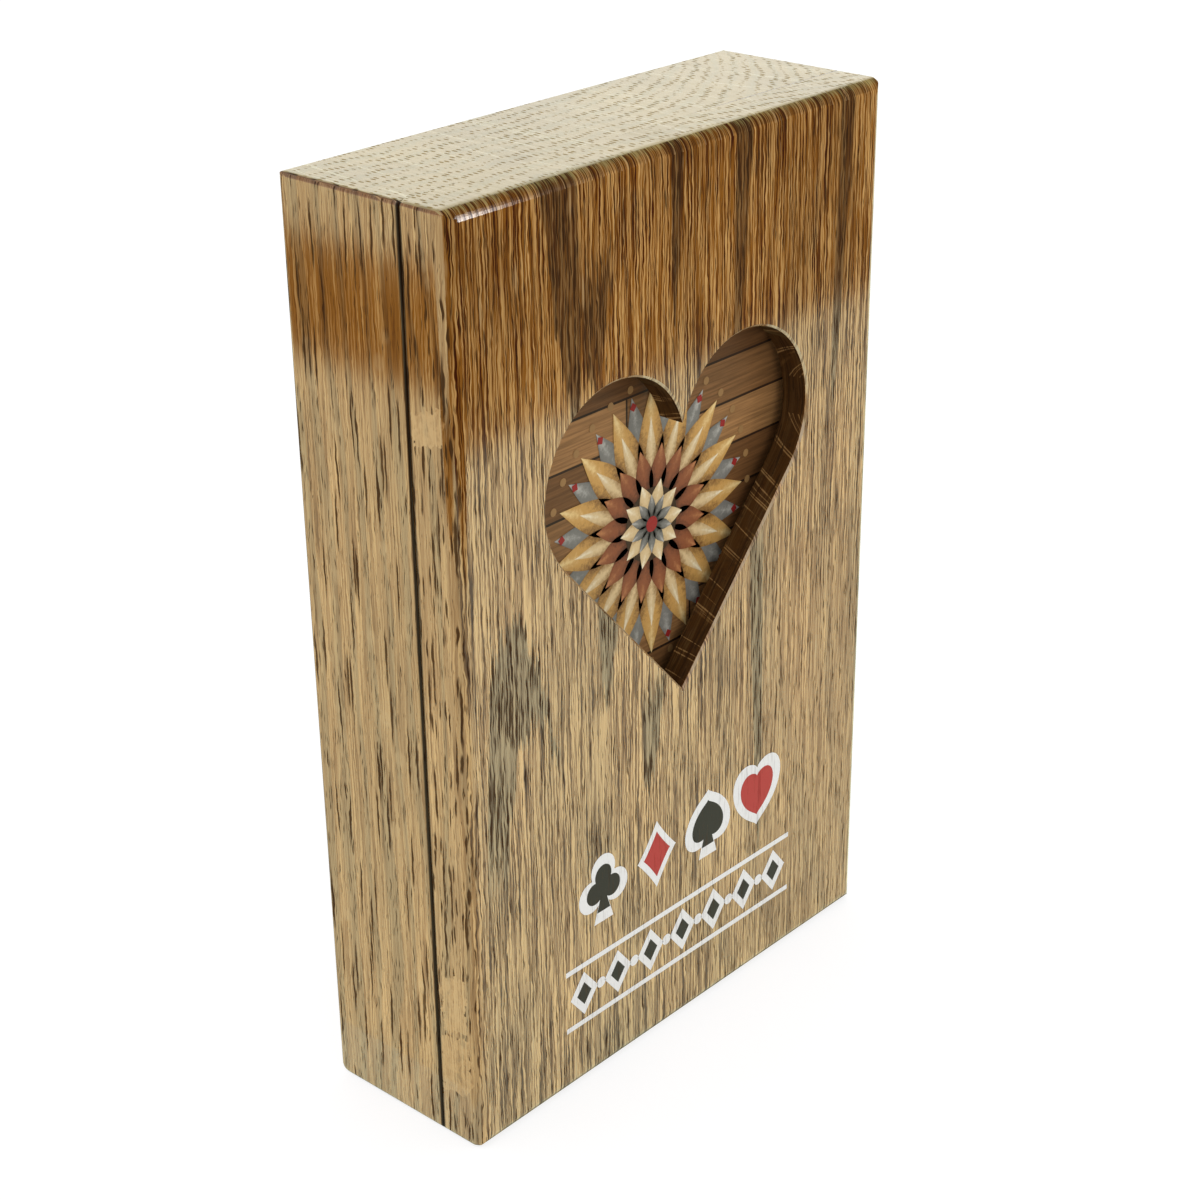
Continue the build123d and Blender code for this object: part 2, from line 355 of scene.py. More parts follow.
    # Fibres: strands, hairs, thin dark seams and broad strips, calmer at the lower right and off the front
    fibre = fade(face_speckle(line, own["Z"], 0.29, 24, 1.0, 0.7), 0.41, 0.59)
    hair = fade(face_speckle(plus(line, 31.0), own["Z"], 0.18, 10, 0.0), 0.36, 0.64)
    wave = face_speckle(plus(line, 57.0), own["Z"], 0.50, 30, 1.0, 0.55)
    seams = fade(gap(wave, 0.5), 0.0, 0.085)
    strips = fade(face_speckle(line, own["Z"], 1.6, 40), 0.30, 0.70)
    streak = scaled(fibre, 0.48, scaled(hair, 0.22, scaled(seams, 0.26, times(strips, 0.04))))
    streak = scaled(streak, 1.25, -0.168)
    quiet = times(fade(part["X"], 2.0, 24.0), fade(part["Z"], 78.0, 52.0), shown, 0.38)
    streak = between(quiet, streak, 0.58)
    calm = scaled(streak, scaled(end, -0.14, 0.46), scaled(end, 0.08, 0.30))
    streak = between(most(side, end), streak, calm)

    # Colour of the fibres, the early wood and the rays, with a painted highlight where the wood looks up: the top,
    # and the lighter streaks on the upper part of its rounded edges
    colour = blended(fade(streak, 0.02, 0.52), given["Dark fibre"], given["Fibre"])
    colour = blended(fade(streak, 0.48, 1.0), colour, given["Light fibre"])
    colour = blended(times(early, 0.68), colour, given["Early wood"])
    # Painted highlight: the top is made paler, and so are the lighter streaks where the rounded edges turn up to
    # it
    upward_highlight = scaled(minus(streak, 0.5), scaled(end, -0.45, 0.45), facing["Z"])
    colour = blended(fade(upward_highlight, 0.70, 0.985, 0.0, 0.68), colour, painted_top_highlight)
    depth = scaled(speckle(stretched(spot, 14, 14, 55), 2.0), 0.7, 0.65)
    colour = blended(1.0, colour, grey(depth), "MULTIPLY")
    # Painted highlight: the rays are paler where the wood faces up
    ray = blended(fade(facing["Z"], 0.84, 0.995), given["Ray"], painted_ray_highlight)
    colour = blended(times(rays, 0.7), colour, ray)

    # Torn patches on the left side: middle and half width of each, and its lower and upper end
    uneven = scaled(face_speckle(part["Y"], part["Z"], 1.4, 1.6, 2.0, 0.6), 2.4, -1.2)
    shifted = plus(part["Y"], uneven)
    tilted = plus(scaled(part["Y"], 0.3, part["Z"]), plus(uneven, 2.9))
    flecks = 0.0
    for middle, half, low, high in ((-9.7, 2.6, 101.0, 105.4), (-9.8, 2.3, 17.6, 26.0), (-9.6, 2.7, 7.5, 16.6)):
        wide = ebb(gap(shifted, middle), half - 0.1, half + 0.1)
        tall = times(fade(tilted, low - 0.15, low + 0.15), ebb(tilted, high - 0.15, high + 0.15))
        flecks = most(flecks, times(wide, tall))
    flecks = times(flecks, times(given["Flames"], times(side, under(part["X"], 0.0))))
    mottled = fade(face_speckle(line, own["Z"], 0.8, 1.6, 2.0, 0.6), 0.36, 0.60, 0.25, 0.80)
    colour = blended(times(flecks, mottled), colour, fleck)

    open_pores = times(pores, left_of(most(broad, flecks)))
    pore = blended(end, given["Pore"], end_pore)
    colour = blended(times(open_pores, scaled(end, -0.25, 0.85)), colour, pore)
    height = scaled(open_pores, -1.0, times(streak, 0.35))
    place(tree, "NodeGroupOutput", {"Colour": colour, "Pores": open_pores, "Rays": rays, "Early": early,
                                    "Streak": streak, "Height": height})
    return tree


oak_grain = solid_oak()
seam = -0.006505


def worked_faces():
    """Where the block was milled inside, and where its outer edges are rounded over."""
    pocket_middle = 0.0645
    pocket_half_width, pocket_half_height = 0.0334, 0.0463
    scoop_half_width, scoop_half_height = 0.0102, 0.0562
    milled_middle, milled_reach = -0.00028, 0.01338
    lid_rounding, top_face = -0.0115, 0.1299
    tree = shader_group("worked faces", {}, ("Milled", "Edge", "Sawn edge", "Rounding", "Closed joint", "Seam"))
    part = parts_of(place(tree, "ShaderNodeTexCoord").outputs["Object"])
    aside = reckon("ABSOLUTE", part["X"])
    up = gap(part["Z"], pocket_middle)
    pocket = times(under(aside, pocket_half_width), under(up, pocket_half_height))
    scoop = times(under(aside, scoop_half_width), under(up, scoop_half_height))
    within = near(part["Y"], milled_middle, milled_reach)
    off_joint = left_of(near(part["Y"], seam, 0.0001))
    milled = times(most(pocket, scoop), times(within, off_joint))

    facing = place(tree, "ShaderNodeNewGeometry").outputs["Normal"]
    upward = parts_of(facing)["Z"]
    side = parts_of(vector_sum("ABSOLUTE", facing))
    square = most(most(side["X"], side["Y"]), side["Z"])
    sawn = times(near(side["Y"], 0.65, 0.25), pocket)
    edge = times(fade(square, 0.998, 0.90), left_of(pocket))
    joint = near(part["Y"], seam, 0.0006)
    edge = times(edge, left_of(times(over(upward, 0.3), scaled(joint, 0.45, 0.5))))
    upright = times(under(part["Y"], lid_rounding), under(side["Z"], 0.3))
    edge = times(edge, scaled(upright, -0.9, 1.0))
    rounding = fade(square, 0.9995, 0.985)
    crack = times(near(part["Y"], seam, 0.00011), fade(part["X"], 0.006, 0.020))
    closed = times(crack, over(part["Z"], top_face))
    outside = under(most(side["Y"], side["Z"]), 0.9)
    groove = times(ebb(gap(part["Y"], seam), 0.00024, 0.00062), outside)
    place(tree, "NodeGroupOutput", {"Milled": milled, "Edge": edge, "Sawn edge": sawn, "Rounding": rounding,
                                    "Closed joint": closed, "Seam": groove})
    return tree


milled_and_eased = worked_faces()


def bare_finish(name):
    """A new material with no nodes in it, and its tree."""
    material = bpy.data.materials.new(name)
    material.use_nodes = True
    material.node_tree.nodes.clear()
    return material, material.node_tree


def relief(height, strength, distance):
    """A surface raised by a height, as the way it faces."""
    feeds = {"Height": height, "Strength": strength, "Distance": distance}
    return place(home(height), "ShaderNodeBump", feeds).outputs["Normal"]


def surfaced(tree, feeds):
    """The surface of a finish, from what feeds its sockets."""
    surface = place(tree, "ShaderNodeBsdfPrincipled", feeds)
    place(tree, "ShaderNodeOutputMaterial", {"Surface": surface.outputs[0]})


def lacquered_oak(name, **grain):
    """Oak stained brown under clear lacquer; the milled pockets have less of it than the outside. The pockets and
    the rounded outer edges are made darker, partly as painted shade.
    """
    milled_oak_and_shade = (0.040, 0.018, 0.007, 1)
    edge_stain_and_shade = (0.055, 0.023, 0.007, 1)
    raw_chip = (0.50, 0.36, 0.20, 1)
    joint_line = (0.075, 0.036, 0.012, 1)
    seam_shade = (0.012, 0.006, 0.003, 1)
    material, tree = bare_finish(name)
    feeds = {socket.replace("_", " "): value for socket, value in grain.items()}
    wood = place(tree, "ShaderNodeGroup", feeds, node_tree=oak_grain).outputs
    worked = place(tree, "ShaderNodeGroup", node_tree=milled_and_eased).outputs
    worn = speckle(stretched(millimetres(tree), 2.2, 2.2, 6.0), 3.0, 0.6)
    # Darker bare oak and painted shade: the milled pockets and the heart's walls are made nearly black, save for
    # the rays
    inside = times(worked["Milled"], scaled(wood["Rays"], -0.55, 1.0), 0.89)
    colour = blended(inside, wood["Colour"], milled_oak_and_shade)
    # Staining and painted shade: the rounded outer edges are darkened, most at the foot and the back, less on the
    # top edges and the front's upright edges
    stain_and_shade = times(worked["Edge"], fade(worn, 0.34, 0.60, 0.45, 0.90), scaled(wood["Rays"], -0.65, 1.0))
    colour = blended(stain_and_shade, colour, edge_stain_and_shade)
    chip = times(worked["Sawn edge"], fade(worn, 0.35, 0.60, 0.2, 0.9))
    colour = blended(chip, colour, raw_chip)
    colour = blended(times(worked["Closed joint"], 0.75), colour, joint_line)
    colour = blended(times(worked["Seam"], 0.95), colour, seam_shade)
    rough = scaled(worked["Milled"], 0.15, scaled(wood["Pores"], 0.25, 0.40))
    coat = times(scaled(worked["Milled"], -0.93, 1.0), scaled(wood["Pores"], -0.92, 1.0))
    coat = times(coat, fade(wood["Streak"], 0.1, 0.6, 0.40, 1.0))
    coat = times(coat, scaled(most(worked["Edge"], worked["Seam"]), -0.90, 1.0))
    sanded = times(worked["Rounding"], left_of(wood["Early"]))
    raised = relief(wood["Height"], scaled(sanded, -0.48, 0.5), 0.00008)
    surfaced(tree, {"Base Color": colour, "Roughness": rough, "Coat Weight": coat, "Coat Roughness": 0.09,
                    "Coat IOR": 1.9, "Specular IOR Level": 0.02, "Normal": raised})
    return material


def new_piece(name, data):
    """An object of that name in the scene."""
    piece = bpy.data.objects.new(name, data)
    bpy.context.scene.collection.objects.link(piece)
    return piece


def worn_box():
    """The closed box as a plain block, worn round at the back of its foot and at the four corners of its front."""
    corner_wear, foot_wear = 0.0034, 0.0026
    rounding = {"offset_type": "OFFSET", "segments": 8, "profile": 0.5}
    low, high = Vector(cad_box[0]), Vector(cad_box[1])
    shape = bmesh.new()
    size = Matrix.Diagonal((*(high - low), 1.0))
    bmesh.ops.create_cube(shape, size=1.0, matrix=Matrix.Translation((low + high) / 2) @ size)
    front = [corner for corner in shape.verts if corner.co.y < 0]
    bmesh.ops.bevel(shape, geom=front, offset=corner_wear, affect="VERTICES", **rounding)
    foot = [edge for edge in shape.edges
            if all(corner.co.z < 0.001 and corner.co.y > 0.01 for corner in edge.verts)]
    bmesh.ops.bevel(shape, geom=foot, offset=foot_wear, affect="EDGES", **rounding)
    mesh = bpy.data.meshes.new("worn box")
    shape.to_mesh(mesh)
    shape.free()
    return new_piece("worn box", mesh)


worn_outside = worn_box()


def made_plain(piece):
    """A piece's mesh with its modifiers worked in and taken off."""
    bpy.context.view_layer.update()
    mesh = bpy.data.meshes.new_from_object(piece.evaluated_get(bpy.context.evaluated_depsgraph_get()))
    piece.modifiers.clear()
    piece.data = mesh
    return mesh


def block_from(node, name):
    """A seamless copy of a CAD block, smooth over its rounded edges and flat on its faces."""
    weld = 1e-6
    groove, side_rounding = 0.0005, 0.00069
    sharp = math.radians(32)
    low, high = cad_box
    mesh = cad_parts[node].data.copy()
    mesh.name = name
    shape = bmesh.new()
    shape.from_mesh(mesh)
    bmesh.ops.remove_doubles(shape, verts=shape.verts, dist=weld)
    shape.to_mesh(mesh)
    shape.free()
    if "custom_normal" in mesh.attributes:
        mesh.attributes.remove(mesh.attributes["custom_normal"])
    block = new_piece(name, mesh)
    corners = block.modifiers.new("worn corners", "BOOLEAN")
    corners.operation = "INTERSECT"
    corners.solver = "EXACT"
    corners.object = worn_outside
    mesh = made_plain(block)

    # Cuts beside the rounded edges, so that the shading of the flat faces stays flat
    shape = bmesh.new()
    shape.from_mesh(mesh)
    for margin in (0.00085, 0.00215):
        for spot, way in ((low[0] + margin, 0), (high[0] - margin, 0), (high[1] - margin, 1),
                          (low[2] + margin, 2), (high[2] - margin, 2)):
            cut = Vector((0, 0, 0))
            cut[way] = 1
            everything = shape.verts[:] + shape.edges[:] + shape.faces[:]
            bmesh.ops.bisect_plane(shape, geom=everything, plane_co=cut * spot, plane_no=cut)

    # The seam's groove is closed on the top
    for corner in shape.verts:
        on_top = corner.co.z > high[2] - groove and abs(corner.co.x) < high[0] - side_rounding
        if on_top and abs(corner.co.y - seam) < groove:
            corner.co.z = high[2]
    for face in shape.faces:
        face.smooth = True
    shape.to_mesh(mesh)
    shape.free()
    mesh.set_sharp_from_angle(angle=sharp)
    block.modifiers.new("flat faces", "WEIGHTED_NORMAL").keep_sharp = True
    flat = made_plain(block)
    flat.name = name
    flat.materials.clear()
    return block


case = block_from("rear_case", "oak_case")
case.data.materials.append(lacquered_oak("lacquered oak, case", Figure_across=-12.0, Figure_up=40.0, Bow=-0.0022,
                                         Saddle=0.0004, Bend=0.016, Ring_width=3.6, Ring_shift=0.3, Block=3.0))
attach(case, "case")
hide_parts("rear_case")


# Magnets
# Small nickel-plated discs, four in the case and four in the lid, glued into drilled holes.
# They face each other across the seam and hold the lid on.

def nickel_plate():
    """Bright nickel with the fine turning marks and stains of a handled disc."""
    clean, stained = (0.58, 0.55, 0.62, 1), (0.50, 0.47, 0.53, 1)
    material, tree = bare_finish("nickel plate")
    spot = millimetres(tree)
    scuff = speckle(stretched(spot, 0.12, 0.12, 1.6), 3.0, 0.6)
    bloom = speckle(stretched(spot, 2.2, 2.2, 2.2), 2.0)
    colour = blended(fade(bloom, 0.4, 0.7), clean, stained)
    surfaced(tree, {"Base Color": colour, "Metallic": 1.0, "Roughness": scaled(scuff, 0.18, 0.28),
                    "Normal": relief(scuff, 0.12, 0.00002)})
    return material


def dress(node, finish):
    """A CAD piece in its own shape, with a finish."""
    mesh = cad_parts[node].data
    mesh.materials.clear()
    mesh.materials.append(finish)


nickel = nickel_plate()
for half in ("case", "lid"):
    for corner in ("bottom_left", "bottom_right", "top_left", "top_right"):
        dress(f"{half}_magnet_{corner}", nickel)


# Carton
# A tuck carton of printed board, glued along one side and closed by its flaps. It sits in the case's pocket,
# and the lid's heart frames the medallion on its front.

def printed_board():
    """White-backed board, printed with brown planks and left raw at its cut edges."""
    dark_plank, light_plank, joint = (0.16, 0.070, 0.024, 1), (0.42, 0.215, 0.080, 1), (0.035, 0.016, 0.008, 1)
    dull_pulp, white_pulp = (0.70, 0.66, 0.57, 1), (0.84, 0.81, 0.74, 1)
    cut_middle, cut_reach = 108.7, 0.7
    material, tree = bare_finish("printed board")
    spot = millimetres(tree)
    part = parts_of(spot)
    flat = vector_of(X=plus(part["X"], part["Y"]), Y=part["Z"])
    planks = place(tree, "ShaderNodeTexBrick", {
        "Vector": flat, "Color1": dark_plank, "Color2": light_plank, "Mortar": joint, "Scale": 1.0,
        "Mortar Size": 0.22, "Mortar Smooth": 0.4, "Bias": -0.1, "Brick Width": 34.0, "Row Height": 6.4,
    }, offset=0.38, offset_frequency=2)
    figure = speckle(stretched(flat, 11.0, 0.42, 1.0), 4.0, 0.62)
    tone = grey(fade(figure, 0.25, 0.78, 0.62, 1.30))
    colour = blended(1.0, planks.outputs["Color"], tone, "MULTIPLY")
    upward = parts_of(place(tree, "ShaderNodeNewGeometry").outputs["Normal"])["Z"]
    cut = times(over(upward, 0.9), near(part["Z"], cut_middle, cut_reach))
    fibre = speckle(stretched(spot, 0.2, 0.2, 0.2), 3.0, 0.7)
    pulp = blended(fibre, dull_pulp, white_pulp)
    colour = blended(times(cut, 0.85), colour, pulp)
    surfaced(tree, {"Base Color": colour, "Roughness": fade(fibre, 0.2, 0.8, 0.38, 0.55),
                    "Specular IOR Level": 0.15, "Normal": relief(fibre, 0.15, 0.00003)})
    return material


board = printed_board()
for panel in ("tuck_carton", "tuck_flap", "dust_flap_left", "dust_flap_right"):
    dress(panel, board)


# Carton front print
# A round medallion of inlaid petals, a frame and a row of suit signs, printed in wood colours on the front panel.
# Each ink lies a hair's breadth over the one before.

panel_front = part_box("tuck_carton")[0].y


def printed_ink(name, root, middle, tip, gloss=0.42):
    """Ink that is shaded from the root of a printed petal to its tip, with the grain of a painted picture."""
    material, tree = bare_finish(name)
    tone = place(tree, "ShaderNodeAttribute", attribute_name="tone").outputs["Fac"]
    brush = speckle(stretched(millimetres(tree), 0.5, 0.5, 0.5), 3.0, 0.65)
    tone = scaled(minus(brush, 0.5), 0.55, tone)
    colour = blended(fade(tone, 0.05, 0.5), root, middle)
    colour = blended(fade(tone, 0.5, 0.95), colour, tip)
    surfaced(tree, {"Base Color": colour, "Roughness": fade(brush, 0.2, 0.8, gloss - 0.06, gloss + 0.08),
                    "Specular IOR Level": 0.15, "Normal": relief(brush, 0.1, 0.00002)})
    return material


umber = printed_ink("umber ink", (0.050, 0.024, 0.011, 1), (0.085, 0.040, 0.017, 1), (0.13, 0.062, 0.026, 1))
russet = printed_ink("russet ink", (0.10, 0.030, 0.014, 1), (0.28, 0.090, 0.036, 1), (0.50, 0.21, 0.080, 1))
ochre = printed_ink("ochre ink", (0.17, 0.075, 0.024, 1), (0.64, 0.36, 0.105, 1), (0.92, 0.68, 0.31, 1))
cream = printed_ink("cream ink", (0.36, 0.20, 0.075, 1), (0.74, 0.55, 0.29, 1), (0.95, 0.84, 0.60, 1))
slate = printed_ink("slate ink", (0.060, 0.055, 0.048, 1), (0.22, 0.21, 0.185, 1), (0.52, 0.50, 0.44, 1))
carmine = printed_ink("carmine ink", (0.34, 0.025, 0.022, 1), (0.44, 0.035, 0.030, 1), (0.52, 0.05, 0.04, 1))


def geometry_tree(name, takes):
    """A new geometry tree with named inputs, which have usual values, and one shape as its output."""
    kinds = {int: "NodeSocketInt", float: "NodeSocketFloat", tuple: "NodeSocketVector"}
    tree = bpy.data.node_groups.new(name, "GeometryNodeTree")
    for socket, usual in takes.items():
        tree.interface.new_socket(socket, in_out="INPUT", socket_type=kinds[type(usual)]).default_value = usual
    tree.interface.new_socket("Geometry", in_out="OUTPUT", socket_type="NodeSocketGeometry")
    return tree


def moved(shape, **how):
    """A shape shifted, turned or scaled."""
    return place(home(shape), "GeometryNodeTransform", {"Geometry": shape, **how}).outputs["Geometry"]


def in_a_ring(tree, shape, count, turn):
    """A shape repeated round the middle, a given number of times, the first turned by an angle."""
    spots = place(tree, "GeometryNodeMeshLine", {"Count": count, "Offset": (0, 0, 0)}).outputs["Mesh"]
    step = place(tree, "ShaderNodeMath", {0: math.tau, 1: count}, operation="DIVIDE").outputs[0]
    angle = scaled(place(tree, "GeometryNodeInputIndex").outputs[0], step, turn)
    feeds = {"Points": spots, "Instance": shape, "Rotation": vector_of(Z=angle)}
    return place(tree, "GeometryNodeInstanceOnPoints", feeds).outputs["Instances"]


def inked(shape, ink):
    """A shape made real and given its ink."""
    real = place(home(shape), "GeometryNodeRealizeInstances", {"Geometry": shape}).outputs["Geometry"]
    return place(home(shape), "GeometryNodeSetMaterial", {"Geometry": real, "Material": ink}).outputs["Geometry"]


def petal(tree, start, length, width, fullness):
    """One flat petal that points away from the middle, toned from its root to its tip."""
    sheet = {"Size X": 1.0, "Size Y": 1.0, "Vertices X": 13, "Vertices Y": 5}
    sheet = place(tree, "GeometryNodeMeshGrid", sheet).outputs["Mesh"]
    part = parts_of(place(tree, "GeometryNodeInputPosition").outputs[0])
    share = reckon("MINIMUM", most(plus(part["X"], 0.5), 0.0), 1.0)
    swell = most(reckon("SINE", times(reckon("POWER", share, fullness), math.pi)), 0.004)
    tone = minus(share, times(reckon("ABSOLUTE", part["Y"]), 0.7))
    toned = place(tree, "GeometryNodeStoreNamedAttribute", {"Geometry": sheet, "Name": "tone", "Value": tone},
                  data_type="FLOAT", domain="POINT").outputs["Geometry"]
    spot = vector_of(X=scaled(share, length, start), Y=times(part["Y"], swell, width))
    return place(tree, "GeometryNodeSetPosition", {"Geometry": toned, "Position": spot}).outputs["Geometry"]


def disc(tree, radius, corners):
    """One flat disc, round or with a few corners."""
    feeds = {"Vertices": corners, "Radius": radius}
    return place(tree, "GeometryNodeMeshCircle", feeds, fill_type="NGON").outputs["Mesh"]


def bead(tree, distance, size, corners):
    """One flat bead at a distance from the middle."""
    spot = place(tree, "ShaderNodeCombineXYZ", {"X": distance}).outputs[0]
    return moved(disc(tree, size, corners), Translation=spot)


def stood_up(tree, layers, middle):
    """Flat layers joined, stood up to face the front, and put out by the tree."""
    joined = tree.nodes.new("GeometryNodeJoinGeometry")
    for layer in reversed(layers):
        tree.links.new(layer, joined.inputs[0])
    stood = moved(joined.outputs[0], Translation=middle, Rotation=(math.pi / 2, 0, 0))
    place(tree, "NodeGroupOutput", {0: stood})


def medallion():
    """Rings of petals and beads on a dark disc, laid out for a given radius and number of petals."""
    tree = geometry_tree("medallion", {"Radius": 0.0225, "Petals": 16, "Ink": 0.00002, "Middle": (0, 0, 0)})
    given = tree.nodes.new("NodeGroupInput").outputs
    petals = given["Petals"]
    half_step = reckon("DIVIDE", math.pi, petals)
    double = times(petals, 2)
    inner_petals = 10

    def one_bead(distance, size, corners):
        away = times(given["Radius"], distance) if distance else 0.0
        return bead(tree, away, times(given["Radius"], size), corners)

    def one_petal(start, length, width, fullness):
        return petal(tree, *(times(given["Radius"], share) for share in (start, length, width)), fullness)

    layers = []
    for shape, count, turn, ink, level in (
            (one_bead(0.0, 0.60, 96), 1, 0.0, umber, 2),
            (one_bead(0.915, 0.026, 10), double, 0.0, cream, 3),
            (one_petal(0.30, 0.56, 0.20, 0.75), petals, half_step, slate, 3),
            (one_petal(0.24, 0.62, 0.235, 0.70), petals, 0.0, ochre, 4),
            (one_petal(0.24, 0.44, 0.10, 0.70), petals, 0.0, cream, 5),
            (one_bead(0.80, 0.030, 4), petals, half_step, carmine, 5),
            (one_petal(0.16, 0.34, 0.155, 0.80), petals, half_step, russet, 6),
            (one_bead(0.0, 0.235, 64), 1, 0.0, umber, 7),
            (one_petal(0.03, 0.25, 0.125, 0.80), inner_petals, 0.0, cream, 8),
            (one_petal(0.03, 0.16, 0.07, 0.80), inner_petals, math.pi / inner_petals, slate, 9),
            (one_bead(0.0, 0.050, 24), 1, 0.0, carmine, 10)):
        lift = vector_of(Z=times(given["Ink"], level))
        layers.append(inked(moved(in_a_ring(tree, shape, count, turn), Translation=lift), ink))
    stood_up(tree, layers, given["Middle"])
    return tree


def grown(name, tree, **sizes):
    """A plain mesh object grown by a geometry tree from the sizes it is given."""
    thing = new_piece(name, bpy.data.meshes.new(name))
    growth = thing.modifiers.new(name, "NODES")
    growth.node_group = tree
    sockets = {item.name: item.identifier for item in tree.interface.items_tree if item.in_out == "INPUT"}
    for size, value in sizes.items():
        growth[sockets[size]] = value
    made_plain(thing).name = name
    return thing


def suit_outline(suit, across, up, tall):
    """The outline of a suit sign of a given height, as points round it."""
    steps, furthest, nearest, stride = 144, 0.75, 0.02, 0.002

    def heart(x, z):
        x, z = 2.24 * x, 2.24 * z + 0.12
        return (x * x + z * z - 1) ** 3 - x * x * z ** 3 <= 0

    def stem(x, z):
        return -0.5 <= z <= 0.0 and abs(x) <= 0.035 + 0.15 * max(0.0, -z - 0.12) ** 2 / 0.144

    def inside(x, z):
        if suit == "heart":
            return heart(x, z)
        if suit == "diamond":
            return (abs(x) / 0.38) ** 0.92 + (abs(z) / 0.5) ** 0.92 <= 1
        if suit == "spade":
            return heart(x / 0.92, (0.09 - z) / 0.84) or stem(x, z)
        leaves = min(math.hypot(x, z - 0.255), math.hypot(abs(x) - 0.235, z + 0.055)) <= 0.225
        return leaves or math.hypot(x, z - 0.05) <= 0.12 or stem(x, z)

    points = []
    for step in range(steps):
        angle = math.tau * step / steps
        reach = furthest
        while reach > nearest and not inside(reach * math.cos(angle), reach * math.sin(angle)):
            reach -= stride
        points.append((across + tall * reach * math.cos(angle), up + tall * reach * math.sin(angle)))
    return points


def bar(low, high):
    """The outline of an upright rectangle."""
    return [low, (high[0], low[1]), high, (low[0], high[1])]


def printed_shapes(name, shapes):
    """Flat shapes that face the front, each at its own depth and in its own ink."""
    mesh = bpy.data.meshes.new(name)
    corners, faces, inks, used = [], [], [], []
    for outline, depth, ink in shapes:
        faces.append(range(len(corners), len(corners) + len(outline)))
        corners += [(across, depth, up) for across, up in outline]
        if ink not in used:
            used.append(ink)
        inks.append(used.index(ink))
    mesh.from_pydata(corners, [], faces)
    for ink in used:
        mesh.materials.append(ink)
    mesh.polygons.foreach_set("material_index", inks)
    return new_piece(name, mesh)


def sign_row(suits, first, pitch, up, outer, inner):
    """A row of suit signs, each in a plain ink with a smaller one over it: size, depth, red ink and black ink."""
    row = []
    for spot, suit in enumerate(suits):
        for tall, depth, red, black in (outer, inner):
            ink = red if suit in ("heart", "diamond") else black
            row.append((suit_outline(suit, first + pitch * spot, up, tall), depth, ink))
    return row


# The depths of the inks, and the half widths and the heights of the frame's lines
frame_ink, sign_ink = panel_front - 0.00003, panel_front - 0.00003 - 0.00002
outer, inner = 0.0300, 0.0294
foot, sill, lintel, top = 0.0222, 0.0228, 0.0998, 0.1004
carton_signs = [(bar(low, high), frame_ink, cream) for low, high in (
    ((-outer, foot), (outer, sill)), ((-outer, lintel), (outer, top)),
    ((-outer, sill), (-inner, lintel)), ((inner, sill), (outer, lintel)))]
carton_signs += sign_row(("spade", "heart", "club", "diamond"), first=-0.0204, pitch=0.0136, up=0.0380,
                         outer=(0.0120, frame_ink, cream, cream), inner=(0.0092, sign_ink, carmine, umber))
carton_signs = printed_shapes("carton_signs", carton_signs)
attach(carton_signs, "deck")

carton_medallion = grown("carton_medallion", medallion(), Radius=0.0225, Petals=16, Ink=0.00002,
                         Middle=(0.0, panel_front, 0.0768))
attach(carton_medallion, "deck")


# Cards
# Four suits and two jokers of smooth white card stock, cut with round corners and packed loose in the carton.
# Their cut edges differ a little from card to card.

def card_edges():
    """Card stock whose cut edges differ a little from card to card."""
    pitch = 0.29
    dull, bright, fuzz = (0.74, 0.72, 0.67, 1), (0.86, 0.85, 0.82, 1), (0.60, 0.56, 0.50, 1)
    material, tree = bare_finish("card stock")
    spot = millimetres(tree)
    luck = chance(reckon("FLOOR", reckon("DIVIDE", parts_of(spot)["Y"], pitch)))
    fibre = speckle(stretched(spot, 0.3, 0.1, 0.3), 3.0, 0.7)
    colour = blended(times(fibre, 0.2), blended(luck, dull, bright), fuzz)
    surfaced(tree, {"Base Color": colour, "Roughness": fade(fibre, 0.2, 0.8, 0.42, 0.6),
                    "Normal": relief(fibre, 0.15, 0.00002)})
    return material


stock = card_edges()
for suit in ("spade", "heart", "diamond", "club", "joker"):
    dress(f"{suit}_cards", stock)


# Front lid
# A thinner oak board, round along its front edges, with the heart window sawn through it.
# It is stained and lacquered with the case, but its grain is its own.

lid = block_from("front_lid", "oak_lid")
lid_front = cad_box[0][1]
ink_depth = 0.00003
for corner in lid.data.vertices:
    corner.co.y = max(corner.co.y, lid_front + ink_depth)
lid.data.materials.append(lacquered_oak("lacquered oak, lid", Figure_across=-18.0, Figure_up=72.0, Bow=0.0042,
                                        Saddle=0.0011, Ring_width=4.0, Ring_shift=0.15, Block=1.0, Flames=1.0))
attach(lid, "lid")
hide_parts("front_lid")
bpy.data.objects.remove(worn_outside)


# Lid print
# White, red and black ink screen-printed low on the lid's front: four suit signs over a chain of lozenges.
# The ink is a film on the lacquer, and the wood's open pores show in it a little.

def screen_ink(name, colour):
    """Opaque ink over lacquered oak, thinner over the pores."""
    material, tree = bare_finish(name)
    wood = place(tree, "ShaderNodeGroup", {"Block": 1.0, "Flames": 1.0}, node_tree=oak_grain).outputs
    tone = blended(times(wood["Pores"], 0.22), colour, wood["Colour"])
    surfaced(tree, {"Base Color": tone, "Roughness": scaled(wood["Pores"], 0.2, 0.42),
                    "Specular IOR Level": 0.12, "Normal": relief(wood["Height"], 0.2, 0.00004)})
    return material


white_ink = screen_ink("white screen ink", (0.93, 0.93, 0.91, 1))
red_ink = screen_ink("red screen ink", (0.50, 0.055, 0.050, 1))
black_ink = screen_ink("black screen ink", (0.025, 0.022, 0.020, 1))


